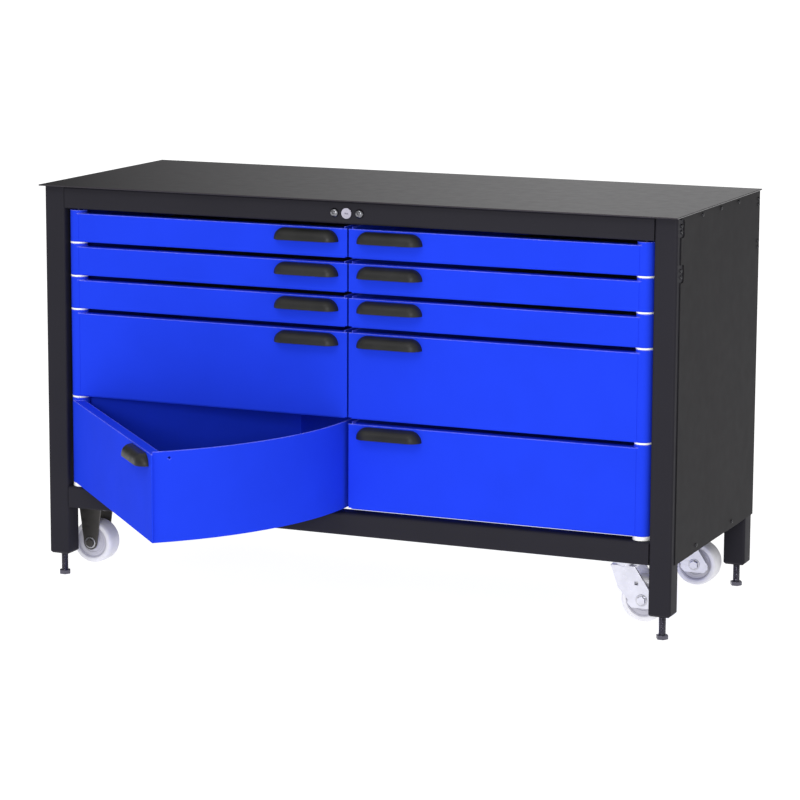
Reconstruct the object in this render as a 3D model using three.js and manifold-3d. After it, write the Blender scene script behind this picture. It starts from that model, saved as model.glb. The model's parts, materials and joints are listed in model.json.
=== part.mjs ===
// Workbench on casters with ten swing-out drawers, in millimetres, +Z up, front facing -Y.
// Inside the "bench" group, x = 0 is the left face of the left posts, y = 0 the front face of
// the front posts and z = 0 the floor. The root group then puts the origin at the middle of
// the underside of everything's bounding box.
import * as THREE from 'three';
import { mergeVertices } from 'three/addons/utils/BufferGeometryUtils.js';
import Module from 'manifold-3d';

const wasm = await Module();
wasm.setup();

// ---------------------------------------------------------------- driving dimensions
const GAP = 0.3; // running or assembly gap between pieces that touch
const CUT = 2; // how far a cutting tool runs past the surface it opens
const CLOSE = 1e-4; // points nearer than this are one point

const frame = {
  width: 1512, // over the outer faces of the posts
  depth: 588,
  tube: 50.8, // square section of the posts, depth of the rails
  corner: 6, // outer corner radius of the tube
  wall: 3,
  legClearance: 52, // floor to the closed end of a post
  endCap: 5,
  rimChamfer: 5.5, // lower edge of a post
  bottomRail: { headroom: 47, height: 50.8 }, // headroom: top of a wheel to the rail
  topRail: { height: 50.8 },
};

const worktop = {
  height: 914.4, // floor to working surface
  thickness: 3.2,
  frontOverhang: 17.7,
  sideOverhang: 6,
  rearOverhang: 4,
};

const panel = {
  sheet: 2,
  fold: 40, // depth of the folded top edge, which carries the worktop
  lip: 25, // height of its turned-down inner edge
  setback: 21, // front edge of a side panel behind the front of the bench
  lift: 2, // lower edge above the underside of the bottom rails
  backInset: 12.5, // side edge of the back panel from the side of the bench
  notch: { height: 38, depth: 20, corner: 6, drops: [24.5, 120] }, // drops: top of the panel to a middle
};

const pivot = {
  clearance: 4.2, // knuckle to the inner face of a post
  rodRadius: 8,
  boreClearance: 0.4,
  knuckleRadius: 20,
  rodEnd: 18, // how far the rod reaches into the rail at each end
  washer: 4,
  baseWasher: 9,
};

const drawer = {
  sheet: 2,
  rows: 5, // per column, row 1 at the top
  shallowRows: 3, // the upper rows; the others share the height that is left
  shallow: 72, // knuckle height of a shallow drawer
  topClearance: 3.3, // top knuckle to the upper rail
  wallDrop: 2.9, // top of the knuckle to the top of the walls
  frontDrop: 7, // top of the knuckle to the top of the front
  frontLift: 2.6, // underside of the knuckle to the bottom of the front
  flange: 25, // folded top edge of the front
  arcSetback: 6, // outside of the curved wall behind the free edge of the front
  rearClearance: 23, // outside of the rear wall to the back of the frame
  gap: 4, // between the two columns of fronts
  openAngle: THREE.MathUtils.degToRad(47), // bottom left drawer as stored
  catchHole: { radius: 3, behindFront: 41, belowTop: 15 },
  seam: { fromRod: 9, width: 1, depth: 0.8 }, // where the front sheet meets its knuckle
};

const handle = {
  width: 155,
  height: 26,
  depth: 25,
  wall: 3,
  endRadius: 24,
  fromCentre: 100, // middle of the handle to the middle of the bench
  belowTop: 4,
};

const foot = {
  shankRadius: 8,
  headAcrossFlats: 24,
  headHeight: 9,
  length: 112,
  chamfer: 1.5,
  boreClearance: 0.4,
};

const caster = {
  wheelRadius: 50,
  wheelWidth: 50,
  treadCorner: 7,
  groundClearance: 16, // the bench stands on its levelling bolts
  forkSheet: 4,
  hub: { radius: 14, proud: 2.5 }, // bearing spacer between the fork legs
  recess: { inner: 16, outer: 37, depth: 5 },
  axleRadius: 6,
  nut: { acrossFlats: 17, height: 6 },
  behindPost: 58, // plate centre behind a post
  fixed: { beyondPost: 14, legWidth: 58, tipRadius: 17 },
  swivel: {
    beyondPost: 84, trail: 44, legWidth: 56, footWidth: 64, footDrop: 18,
    knee: { ahead: 54, rise: 24 }, // corner of the leg's leading edge, from the axle
    window: { size: 8, ahead: 12, rise: 37 }, // square hole through each leg, from the axle
  },
  plate: { length: 106, width: 92, thickness: 5, hole: 5, holeInset: 11 },
  raceway: { radius: 34, lip: 2, height: 13, step: 5 },
  kingpin: { radius: 7, head: 12, headHeight: 5 },
};

const gusset = { margin: 8, depth: 125, thickness: 5 }; // margin: past the swivel plates

const lock = {
  faceRadius: 12,
  faceHeight: 4,
  barrelRadius: 9.5,
  barrelLength: 30,
  drop: 1, // below the middle of the rail
  keyway: { width: 9, height: 2.4, depth: 3 },
  cam: { length: 15, width: 8, thickness: 3 },
};

const SEGMENTS = {
  round: 28, small: 16, hole: 8, square: 4, corner: 3, arc: 14, curve: 6, wheel: 30, ring: 24,
};

// ---------------------------------------------------------------- derived levels
const topUnderside = worktop.height - worktop.thickness;
const frameTop = topUnderside - GAP;
const topRailLow = frameTop - frame.topRail.height;
const wheelTop = caster.groundClearance + 2 * caster.wheelRadius;
const bottomRailLow = wheelTop + frame.bottomRail.headroom;
const bottomRailTop = bottomRailLow + frame.bottomRail.height;
const railLength = frame.width - 2 * frame.tube - 2 * GAP;
const sideRailLength = frame.depth - 2 * frame.tube - 2 * GAP;
const pivotY = frame.tube / 2;
const pivotX = frame.tube + pivot.clearance + pivot.knuckleRadius;
const centreX = frame.width / 2;
const boreRadius = pivot.rodRadius + pivot.boreClearance;
const frontLength = centreX - pivotX - drawer.gap / 2;
const arcRadius = frontLength - drawer.arcSetback;
const drawerLength = frame.depth - pivotY - drawer.rearClearance;
const deepRows = drawer.rows - drawer.shallowRows;
const washerStack = pivot.baseWasher + (drawer.rows - 1) * pivot.washer + 2 * drawer.rows * GAP;
const stackHeight = topRailLow - bottomRailTop - drawer.topClearance - washerStack;
const deepKnuckle = (stackHeight - drawer.shallowRows * drawer.shallow) / deepRows;
const axleHeight = caster.groundClearance + caster.wheelRadius;
const hubLength = caster.wheelWidth + 2 * caster.hub.proud;
const forkInside = hubLength + 2 * GAP;
const forkOutside = forkInside + 2 * caster.forkSheet;
const casterInset = {
  front: frame.tube + caster.behindPost,
  fixed: frame.tube + caster.fixed.beyondPost,
  swivel: frame.tube + caster.swivel.beyondPost,
};
const gussetLength = casterInset.swivel + caster.plate.length / 2 + gusset.margin;

// ---------------------------------------------------------------- finishes
const finish = (color, roughness, metalness) => ({ color, roughness, metalness });
const finishes = {
  framePaint: finish(0x2f2e32, 0.55, 0.2),
  topPaint: finish(0x3a3a3c, 0.5, 0.2),
  panelPaint: finish(0x2c2c2c, 0.6, 0.2),
  drawerPaint: finish(0x2846f2, 0.4, 0.1),
  plastic: finish(0x1e1e1c, 0.6, 0),
  nylon: finish(0xf4f4f0, 0.45, 0),
  zinc: finish(0xb9bcc4, 0.35, 0.9),
  chrome: finish(0xd8d8dc, 0.2, 1),
  rubber: finish(0xb4b4bc, 0.7, 0),
};

// ---------------------------------------------------------------- solids and booleans
function toSolid(geometry) {
  const bare = geometry.clone();
  bare.deleteAttribute('normal');
  bare.deleteAttribute('uv');
  const merged = mergeVertices(bare, CLOSE);
  return new wasm.Manifold(new wasm.Mesh({
    numProp: 3,
    vertProperties: new Float32Array(merged.attributes.position.array),
    triVerts: new Uint32Array(merged.index.array),
  }));
}

function toGeometry(solid) {
  const mesh = solid.getMesh();
  const geometry = new THREE.BufferGeometry();
  geometry.setAttribute('position', new THREE.BufferAttribute(mesh.vertProperties, 3));
  geometry.setIndex(new THREE.BufferAttribute(mesh.triVerts, 1));
  geometry.computeVertexNormals();
  return geometry;
}

const join = (first, ...rest) => (
  rest.reduce((sum, geometry) => sum.add(toSolid(geometry)), toSolid(first))
);
const cutAway = (solid, ...tools) => (
  tools.reduce((left, geometry) => left.subtract(toSolid(geometry)), solid)
);

function namedMesh(name, shape, style) {
  const geometry = shape.isBufferGeometry ? shape : toGeometry(shape);
  const mesh = new THREE.Mesh(geometry, new THREE.MeshStandardMaterial(style));
  mesh.name = name;
  return mesh;
}

function namedGroup(name, ...children) {
  const group = new THREE.Group();
  group.name = name;
  group.add(...children);
  return group;
}

function place(object, x, y, z) {
  object.position.set(x, y, z);
  return object;
}

// ---------------------------------------------------------------- basic shapes
const basis = (a, b, c) => new THREE.Matrix4().makeBasis(a, b, c);
const X = new THREE.Vector3(1, 0, 0);
const Y = new THREE.Vector3(0, 1, 0);
const Z = new THREE.Vector3(0, 0, 1);
const ALONG_X = basis(Y, Z, X); // a section drawn in (y, z), run along +X
const ALONG_Y = basis(Z, X, Y); // a section drawn in (z, x), run along +Y
const TO_FRONT = basis(X, Z, Y.clone().negate()); // a section drawn in (x, z), run along -Y

function prism(shape, length, direction) {
  const geometry = new THREE.ExtrudeGeometry(shape, { depth: length, bevelEnabled: false });
  return direction ? geometry.applyMatrix4(direction) : geometry;
}

function box(low, high) {
  const size = high.map((value, i) => value - low[i]);
  const geometry = new THREE.BoxGeometry(...size);
  return geometry.translate(...low.map((value, i) => value + size[i] / 2));
}

// A box between two values along each axis, given in either order.
function spanBox(xs, ys, zs) {
  const spans = [xs, ys, zs];
  return box(spans.map((span) => Math.min(...span)), spans.map((span) => Math.max(...span)));
}

function cylinderZ(radius, low, high, segments = SEGMENTS.round) {
  const geometry = new THREE.CylinderGeometry(radius, radius, high - low, segments);
  return geometry.rotateX(Math.PI / 2).translate(0, 0, (low + high) / 2);
}

function cylinderY(radius, low, high, segments = SEGMENTS.round) {
  const geometry = new THREE.CylinderGeometry(radius, radius, high - low, segments);
  return geometry.translate(0, (low + high) / 2, 0);
}

// A profile of [radius, height] points turned about Z.
function turnedZ(points, segments = SEGMENTS.round) {
  const profile = points.map(([r, h]) => new THREE.Vector2(r, h));
  return new THREE.LatheGeometry(profile, segments).rotateX(Math.PI / 2);
}

// The same about Y.
function turnedY(points, segments = SEGMENTS.round) {
  const profile = points.map(([r, h]) => new THREE.Vector2(r, h));
  return new THREE.LatheGeometry(profile, segments);
}

// Points of an elliptical arc, both ends included.
function arcPoints([cx, cy], [rx, ry], start, end, count) {
  return Array.from({ length: count + 1 }, (_, i) => {
    const angle = start + ((end - start) * i) / count;
    return [cx + rx * Math.cos(angle), cy + ry * Math.sin(angle)];
  });
}

// A closed outline through [x, y] points, leaving out repeated ones.
function outline(points) {
  const apart = ([x0, y0], [x1, y1]) => Math.hypot(x1 - x0, y1 - y0) > CLOSE;
  const kept = points.filter((point, i) => apart(point, points[(i + 1) % points.length]));
  return new THREE.Shape(kept.map(([x, y]) => new THREE.Vector2(x, y)));
}

function roundedRectangle(width, height, radius) {
  const quarter = Math.PI / 2;
  const signs = [[1, -1], [1, 1], [-1, 1], [-1, -1]];
  return outline(signs.flatMap(([sx, sy], i) => {
    const centre = [sx * (width / 2 - radius), sy * (height / 2 - radius)];
    return arcPoints(centre, [radius, radius], (i - 1) * quarter, i * quarter, SEGMENTS.corner);
  }));
}

function hexagon(acrossFlats) {
  const radius = acrossFlats / Math.sqrt(3);
  return outline(arcPoints([0, 0], [radius, radius], 0, 2 * Math.PI, 6));
}

// Hollow square tube centred on its own axis, open at both ends.
function tubeSection(width, height) {
  const section = roundedRectangle(width, height, frame.corner);
  const inside = frame.corner - frame.wall;
  section.holes.push(roundedRectangle(width - 2 * frame.wall, height - 2 * frame.wall, inside));
  return section;
}

// ---------------------------------------------------------------- frame
// A post with its lower end at z = 0 and its axis on the local Z axis. The lower end is
// closed and bored for the levelling bolt.
function post(name) {
  const height = frameTop - frame.legClearance;
  const outside = prism(roundedRectangle(frame.tube, frame.tube, frame.corner), height);
  const bore = frame.tube - 2 * frame.wall;
  const inside = prism(roundedRectangle(bore, bore, frame.corner - frame.wall), height);
  inside.translate(0, 0, frame.endCap);
  const threadRadius = foot.shankRadius + foot.boreClearance;
  const thread = cylinderZ(threadRadius, -CUT, frame.endCap + CUT, SEGMENTS.small);
  const rim = chamferRing(frame.tube, frame.rimChamfer);
  return namedMesh(name, cutAway(toSolid(outside), inside, thread, rim), finishes.framePaint);
}

// A square ring whose inner face slopes, used to chamfer the lower edge of a post.
function chamferRing(width, chamfer) {
  const apothem = (distance) => distance * Math.SQRT2;
  const points = [
    [apothem(width / 2 - chamfer - CUT), -CUT],
    [apothem(width / 2 + 2 * CUT), -CUT],
    [apothem(width / 2 + 2 * CUT), chamfer + CUT],
    [apothem(width / 2 + CUT), chamfer + CUT],
  ];
  return turnedZ([...points, points[0]], SEGMENTS.square).rotateZ(Math.PI / 4);
}

// A rail across the bench, its section centred on the local X axis.
function crossRail(height) {
  const rail = prism(tubeSection(frame.tube, height), railLength, ALONG_X);
  return rail.translate(-railLength / 2, 0, 0);
}

// Front rails hold the rods in one wall: the top wall of the lower rail, the underside of the
// upper rail.
function frontRail(name, height, wallSide, ...extraCuts) {
  const reach = centreX - pivotX;
  const middleOfWall = (wallSide * (height - frame.wall)) / 2;
  const halfCut = frame.wall / 2 + CUT;
  const holes = [-reach, reach].map((x) => (
    cylinderZ(boreRadius, -halfCut, halfCut, SEGMENTS.small).translate(x, 0, middleOfWall)
  ));
  const solid = cutAway(toSolid(crossRail(height)), ...holes, ...extraCuts);
  return namedMesh(name, solid, finishes.framePaint);
}

function rearRail(name, height) {
  return namedMesh(name, crossRail(height), finishes.framePaint);
}

// A bottom side rail with the two flat gussets that carry the casters, welded under it.
// side is +1 for the left rail, whose gussets reach toward +X.
function sideRail(name, side) {
  const rail = prism(tubeSection(frame.bottomRail.height, frame.tube), sideRailLength, ALONG_Y);
  rail.translate(0, -sideRailLength / 2, 0);
  const low = -frame.bottomRail.height / 2 - gusset.thickness;
  const plates = [-1, 1].map((end) => {
    const outer = (end * sideRailLength) / 2;
    const reach = [frame.corner - frame.tube / 2, gussetLength - frame.tube / 2];
    return spanBox(
      reach.map((x) => side * x),
      [outer, outer - end * gusset.depth],
      [low, low + gusset.thickness + frame.wall / 2],
    );
  });
  const solid = cutAway(join(rail, ...plates), sideRailBore());
  return namedMesh(name, solid, finishes.framePaint);
}

function sideRailBore() {
  const [height, width] = [frame.bottomRail.height - 2 * frame.wall, frame.tube - 2 * frame.wall];
  const length = sideRailLength + 2 * CUT;
  const bore = prism(roundedRectangle(height, width, frame.corner - frame.wall), length, ALONG_Y);
  return bore.translate(0, -length / 2, 0);
}

// Middle of each post, seen from above.
function postSpots() {
  const half = frame.tube / 2;
  const [right, rear] = [frame.width - half, frame.depth - half];
  return {
    front_left: [half, half],
    front_right: [right, half],
    rear_left: [half, rear],
    rear_right: [right, rear],
  };
}

function frameGroup() {
  const half = frame.tube / 2;
  const [right, rear] = [frame.width - half, frame.depth - half];
  const bottomZ = bottomRailLow + frame.bottomRail.height / 2;
  const topZ = frameTop - frame.topRail.height / 2;
  const posts = Object.entries(postSpots()).map(([corner, [x, y]]) => (
    place(post(`post_${corner}`), x, y, frame.legClearance)
  ));
  const lockRadius = lock.barrelRadius + GAP;
  const lockHole = cylinderY(lockRadius, -half - CUT, -half + frame.wall + CUT, SEGMENTS.small);
  lockHole.translate(0, 0, -lock.drop);
  return namedGroup(
    'frame',
    ...posts,
    place(frontRail('top_rail_front', frame.topRail.height, -1, lockHole), centreX, half, topZ),
    place(frontRail('bottom_rail_front', frame.bottomRail.height, 1), centreX, half, bottomZ),
    place(rearRail('bottom_rail_rear', frame.bottomRail.height), centreX, rear, bottomZ),
    place(sideRail('bottom_rail_left', 1), half, frame.depth / 2, bottomZ),
    place(sideRail('bottom_rail_right', -1), right, frame.depth / 2, bottomZ),
  );
}

// ---------------------------------------------------------------- worktop and panels
function worktopMesh() {
  const slab = box(
    [-worktop.sideOverhang, -worktop.frontOverhang, topUnderside],
    [frame.width + worktop.sideOverhang, frame.depth + worktop.rearOverhang, worktop.height],
  );
  return namedMesh('worktop', slab, finishes.topPaint);
}

const panelLow = bottomRailLow + panel.lift;

// A side panel is a sheet on the outer faces of two posts. Between the posts its top edge
// folds inward and down again. Notches in its front edge leave room for the post screws.
function sidePanel(name, side) {
  const face = side < 0 ? 0 : frame.width;
  const out = (distance) => face + side * distance;
  const outer = out(GAP + panel.sheet);
  const between = [frame.tube + GAP, frame.depth - frame.tube - GAP];
  const lipX = [out(-panel.fold), out(panel.sheet - panel.fold)];
  const solid = join(
    spanBox([out(GAP), outer], [panel.setback, frame.depth], [panelLow, frameTop]),
    spanBox([lipX[0], outer], between, [frameTop - panel.sheet, frameTop]),
    spanBox(lipX, between, [frameTop - panel.lip, frameTop]),
  );
  const notches = panel.notch.drops.map((drop) => (
    sideNotch(panel.setback, frameTop - drop).translate(face, 0, 0)
  ));
  return namedMesh(name, cutAway(solid, ...notches), finishes.panelPaint);
}

// A cutter for one notch, as deep on both sides of the edge it opens.
function sideNotch(edge, middle) {
  const { height, depth, corner } = panel.notch;
  const halfLength = GAP + panel.sheet + CUT;
  const cutter = prism(roundedRectangle(2 * depth, height, corner), 2 * halfLength, ALONG_X);
  return cutter.translate(-halfLength, edge, middle);
}

// The back panel is the same sheet on the rear faces of the rear posts.
function backPanel() {
  const outer = frame.depth + GAP + panel.sheet;
  const between = [frame.tube + GAP, frame.width - frame.tube - GAP];
  const across = [panel.backInset, frame.width - panel.backInset];
  const lipY = [frame.depth - panel.fold, frame.depth - panel.fold + panel.sheet];
  const solid = join(
    spanBox(across, [frame.depth + GAP, outer], [panelLow, frameTop]),
    spanBox(between, [lipY[0], outer], [frameTop - panel.sheet, frameTop]),
    spanBox(between, lipY, [frameTop - panel.lip, frameTop]),
  );
  return namedMesh('back_panel', solid, finishes.panelPaint);
}

// ---------------------------------------------------------------- drawers
// Drawers are drawn closed, about the rod axis: u runs along the front away from the rod and
// w into the bench. side is +1 for the left column, whose u is +X, and -1 for the right one.
function drawerPlan(side, inset) {
  const radius = arcRadius - inset;
  const near = drawer.sheet + inset - pivot.knuckleRadius;
  const rear = drawerLength - inset;
  const [start, end] = [Math.asin(near / radius), Math.asin(rear / radius)];
  const curve = arcPoints([0, 0], [radius, radius], start, end, SEGMENTS.arc);
  const points = [[0, near], ...curve, [near, rear], [near, 0]];
  return outline(points.map(([u, w]) => [side * u, w]));
}

const sidedBox = (side, us, ws, zs) => spanBox(us.map((u) => side * u), ws, zs);

function drawerSolid(side, knuckleHeight) {
  const wallTop = knuckleHeight - drawer.wallDrop;
  const frontTop = knuckleHeight - drawer.frontDrop;
  const face = -pivot.knuckleRadius;
  const backOfFace = face + drawer.sheet;
  const tray = cutAway(
    toSolid(prism(drawerPlan(side, 0), wallTop)),
    prism(drawerPlan(side, drawer.sheet), wallTop).translate(0, 0, drawer.sheet),
    sidedBox(
      side,
      [0, arcRadius + CUT],
      [face - CUT, backOfFace + drawer.sheet],
      [frontTop - drawer.sheet / 2, wallTop + CUT],
    ),
  );
  const front = sidedBox(
    side,
    [0, frontLength],
    [face, backOfFace + drawer.sheet / 2],
    [drawer.frontLift, frontTop],
  );
  const flange = sidedBox(
    side,
    [0, arcRadius - drawer.sheet / 2],
    [face, face + drawer.flange],
    [frontTop - drawer.sheet, frontTop],
  );
  const knuckle = cylinderZ(pivot.knuckleRadius, 0, knuckleHeight);
  const body = [front, flange, knuckle].reduce((sum, geometry) => sum.add(toSolid(geometry)), tray);
  return cutAway(
    body,
    cylinderZ(boreRadius, -CUT, knuckleHeight + CUT, SEGMENTS.small),
    catchHole(side, wallTop),
    seamGroove(side, knuckleHeight),
  );
}

function seamGroove(side, knuckleHeight) {
  const { fromRod, width, depth } = drawer.seam;
  const face = -pivot.knuckleRadius;
  const across = [fromRod - width / 2, fromRod + width / 2];
  return sidedBox(side, across, [face - CUT, face + depth], [-CUT, knuckleHeight + CUT]);
}

// A small hole through the curved wall near its front upper corner.
function catchHole(side, wallTop) {
  const { radius, behindFront, belowTop } = drawer.catchHole;
  const hole = cylinderZ(radius, -drawer.sheet - CUT, CUT, SEGMENTS.hole).rotateY((side * Math.PI) / 2);
  const w = behindFront - pivot.knuckleRadius;
  const u = Math.sqrt(arcRadius ** 2 - w ** 2);
  return hole.translate(side * u, w, wallTop - belowTop);
}

// One cup-shaped pull: the common volume of its outlines seen from the front, from the end
// and from above, hollowed from below and behind.
function cupVolume(width, height, depth, endRadius, drop) {
  const half = width / 2;
  const end = half - endRadius;
  const quarter = Math.PI / 2;
  const bend = (x, radii, turn) => (
    arcPoints([x, 0], radii, turn * quarter, (turn + 1) * quarter, SEGMENTS.curve)
  );
  const frontView = outline([
    [-half, -drop], [half, -drop],
    ...bend(end, [endRadius, height], 0), ...bend(-end, [endRadius, height], 1),
  ]);
  const planView = outline([
    [half, drop], [-half, drop],
    ...bend(-end, [endRadius, depth], 2), ...bend(end, [endRadius, depth], 3),
  ]);
  const endView = outline([
    [-depth, -drop], [drop, -drop], [drop, height], ...bend(0, [depth, height], 1),
  ]);
  const views = [
    prism(frontView, depth + 2 * drop, TO_FRONT).translate(0, drop, 0),
    prism(planView, height + 2 * drop).translate(0, 0, -drop),
    prism(endView, width, ALONG_X).translate(-half, 0, 0),
  ];
  return views.slice(1).reduce((common, view) => common.intersect(toSolid(view)), toSolid(views[0]));
}

function handleSolid() {
  const { width, height, depth, wall, endRadius } = handle;
  const outer = cupVolume(width, height, depth, endRadius, 0);
  const inner = cupVolume(width - 2 * wall, height - wall, depth - wall, endRadius - wall, CUT);
  return outer.subtract(inner);
}

function drawerGroup(name, side, knuckleHeight, solids) {
  const body = namedMesh(name, solids.drawer, finishes.drawerPaint);
  const pull = namedMesh(`${name}_handle`, solids.handle, finishes.plastic);
  const reach = centreX - pivotX - handle.fromCentre;
  const top = knuckleHeight - drawer.frontDrop - handle.belowTop;
  place(pull, side * reach, -pivot.knuckleRadius - GAP, top - handle.height);
  return namedGroup(`${name}_assembly`, body, pull);
}

function washer(name, thickness) {
  const ring = [
    [boreRadius, 0],
    [pivot.knuckleRadius, 0],
    [pivot.knuckleRadius, thickness],
    [boreRadius, thickness],
    [boreRadius, 0],
  ];
  return namedMesh(name, turnedZ(ring, SEGMENTS.ring), finishes.nylon);
}

// One column of drawers from the bottom rail upward, each on its washer.
function column(word, side) {
  const x = side > 0 ? pivotX : frame.width - pivotX;
  const rows = Array.from({ length: drawer.rows }, (_, i) => drawer.rows - i);
  const handleShape = toGeometry(handleSolid());
  const shapes = new Map();
  const pieces = [];
  let z = bottomRailTop;
  rows.forEach((row) => {
    const height = row > drawer.shallowRows ? deepKnuckle : drawer.shallow;
    const thickness = row === rows[0] ? pivot.baseWasher : pivot.washer;
    pieces.push(place(washer(`washer_${word}_${row}`, thickness), x, pivotY, z + GAP));
    z += thickness + 2 * GAP;
    if (!shapes.has(height)) shapes.set(height, toGeometry(drawerSolid(side, height)));
    const solids = { drawer: shapes.get(height).clone(), handle: handleShape.clone() };
    const group = drawerGroup(`drawer_${word}_${row}`, side, height, solids);
    if (side > 0 && row === rows[0]) group.rotation.z = -drawer.openAngle;
    pieces.push(place(group, x, pivotY, z));
    z += height;
  });
  pieces.push(place(rod(`pivot_rod_${word}`), x, pivotY, 0));
  return namedGroup(`column_${word}`, ...pieces);
}

function rod(name) {
  const length = [bottomRailTop - pivot.rodEnd, topRailLow + pivot.rodEnd];
  return namedMesh(name, cylinderZ(pivot.rodRadius, ...length, SEGMENTS.small), finishes.zinc);
}

// ---------------------------------------------------------------- levelling bolts
// The hexagonal head stands on the floor and the shank rises through the threaded end of
// the post.
function levellingBolt(name) {
  const head = prism(hexagon(foot.headAcrossFlats), foot.headHeight);
  const { shankRadius: r, length, chamfer } = foot;
  const start = foot.headHeight / 2;
  const shank = [[0, start], [r, start], [r, length - chamfer], [r - chamfer, length], [0, length]];
  return namedMesh(name, join(head, turnedZ(shank, SEGMENTS.small)), finishes.zinc);
}

function levellingBolts() {
  const bolts = Object.entries(postSpots()).map(([spot, [x, y]]) => (
    place(levellingBolt(`levelling_bolt_${spot}`), x, y, 0)
  ));
  return namedGroup('levelling_bolts', ...bolts);
}

// ---------------------------------------------------------------- casters
// The wheel turns about the local Y axis. Both faces are recessed between hub and tread.
function wheel(name) {
  const { wheelRadius: r, wheelWidth, treadCorner: c, hub, recess } = caster;
  const half = wheelWidth / 2;
  const bore = caster.axleRadius + GAP;
  const rim = [
    [bore, -hubLength / 2],
    [hub.radius, -hubLength / 2],
    [recess.inner, -half + recess.depth],
    [recess.outer, -half + recess.depth],
    [recess.outer, -half],
    [r - c, -half],
    [r, -half + c],
  ];
  const mirrored = rim.map(([radius, y]) => [radius, -y]).reverse();
  const profile = [...rim, ...mirrored, rim[0]];
  return namedMesh(name, turnedY(profile, SEGMENTS.wheel), finishes.rubber);
}

// A fork leg in the plane of the wheel, seen from the side: x is the rolling direction and
// z is counted from the axle. trail is how far the axle lies behind the middle of the top,
// and tip holds the points near and below the axle, from left to right.
function legShape(trail, topWidth, top, tip) {
  return outline([[-trail - topWidth / 2, top], ...tip, [-trail + topWidth / 2, top]]);
}

function roundTip() {
  const { tipRadius } = caster.fixed;
  return arcPoints([0, 0], [tipRadius, tipRadius], Math.PI, 2 * Math.PI, 2 * SEGMENTS.curve);
}

function flatTip() {
  const { footWidth, footDrop, knee } = caster.swivel;
  const half = footWidth / 2;
  const round = footDrop / 2;
  return [
    [-knee.ahead, knee.rise], [-half, 0], [-half, -footDrop + round], [-half + round, -footDrop],
    [half - round, -footDrop], [half, -footDrop + round], [half, 0],
  ];
}

// The square hole of a swivel caster's leg.
function legWindow() {
  const { size, ahead, rise } = caster.swivel.window;
  const [left, right] = [-ahead - size / 2, -ahead + size / 2];
  const [low, high] = [rise - size / 2, rise + size / 2];
  return outline([[left, low], [right, low], [right, high], [left, high]]);
}

// Two legs and the bridge that joins them above the wheel, with the axle bolt through the
// legs as one piece. The axle runs along local Y through the origin.
function forkSolid(trail, topWidth, top, tip, ...windows) {
  const leg = legShape(trail, topWidth, top, tip);
  leg.holes.push(...windows);
  const outer = forkOutside / 2;
  const legs = [outer, -outer + caster.forkSheet].map((y) => (
    prism(leg, caster.forkSheet, TO_FRONT).translate(0, y, 0)
  ));
  const bridge = box(
    [-trail - topWidth / 2, -outer, top - caster.forkSheet],
    [-trail + topWidth / 2, outer, top],
  );
  const axle = cylinderY(caster.axleRadius, -outer, outer, SEGMENTS.small);
  const nuts = [-outer - caster.nut.height, outer].map((y) => (
    prism(hexagon(caster.nut.acrossFlats), caster.nut.height, ALONG_Y).translate(0, y, 0)
  ));
  return join(bridge, ...legs, axle, ...nuts);
}

// Mounting plate with its four bolt holes, centred on the local Z axis, top face at z = 0.
function mountingPlate() {
  const { length, width, thickness, hole, holeInset } = caster.plate;
  const sheet = roundedRectangle(length, width, frame.corner);
  const [x, y] = [length / 2 - holeInset, width / 2 - holeInset];
  for (const [sx, sy] of [[-1, -1], [1, -1], [1, 1], [-1, 1]]) {
    const circle = arcPoints([sx * x, sy * y], [hole, hole], 0, 2 * Math.PI, SEGMENTS.hole);
    sheet.holes.push(outline(circle));
  }
  return prism(sheet, thickness).translate(0, 0, -thickness);
}

const plateTop = bottomRailLow - gusset.thickness - GAP;

// A fixed caster: plate and fork are one welded piece.
function fixedCaster(corner, x, y) {
  const top = plateTop - caster.plate.thickness / 2 - axleHeight;
  const fork = forkSolid(0, caster.fixed.legWidth, top, roundTip());
  const plate = mountingPlate().translate(0, 0, plateTop - axleHeight);
  const body = namedMesh(`caster_fork_${corner}`, fork.add(toSolid(plate)), finishes.zinc);
  const group = namedGroup(`caster_${corner}`, body, wheel(`caster_wheel_${corner}`));
  return place(group, x, y, axleHeight);
}

// A swivel caster: the fork hangs from the plate by a kingpin and trails behind it.
function swivelCaster(corner, x, y) {
  const { raceway, kingpin, plate, swivel } = caster;
  const racewayLow = -plate.thickness - raceway.height;
  const headTop = racewayLow - caster.forkSheet - GAP;
  const inPlate = -plate.thickness / 2;
  const plateBody = join(
    mountingPlate(),
    cylinderZ(raceway.radius, -plate.thickness - raceway.step, inPlate),
    cylinderZ(kingpin.radius, headTop, inPlate, SEGMENTS.small),
    cylinderZ(kingpin.head, headTop - kingpin.headHeight, headTop, SEGMENTS.small),
  );
  const plateMesh = namedMesh(`caster_plate_${corner}`, plateBody, finishes.zinc);
  plateMesh.position.z = plateTop;
  const top = plateTop + racewayLow - axleHeight;
  const raceTop = plateTop - plate.thickness - raceway.step - GAP - axleHeight;
  const fork = forkSolid(swivel.trail, swivel.legWidth, top, flatTip(), legWindow());
  const race = cylinderZ(raceway.radius - raceway.lip, top - caster.forkSheet / 2, raceTop);
  const boreSpan = [top - caster.forkSheet - CUT, raceTop + CUT];
  const bore = cylinderZ(kingpin.radius + GAP, ...boreSpan, SEGMENTS.small);
  const [raceThere, boreThere] = [race, bore].map((shape) => shape.translate(-swivel.trail, 0, 0));
  const body = cutAway(fork.add(toSolid(raceThere)), boreThere);
  const forkMesh = namedMesh(`caster_fork_${corner}`, body, finishes.zinc);
  const turning = namedGroup(`caster_turning_${corner}`, forkMesh, wheel(`caster_wheel_${corner}`));
  place(turning, swivel.trail, 0, axleHeight);
  return place(namedGroup(`caster_${corner}`, plateMesh, turning), x, y, 0);
}

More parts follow.
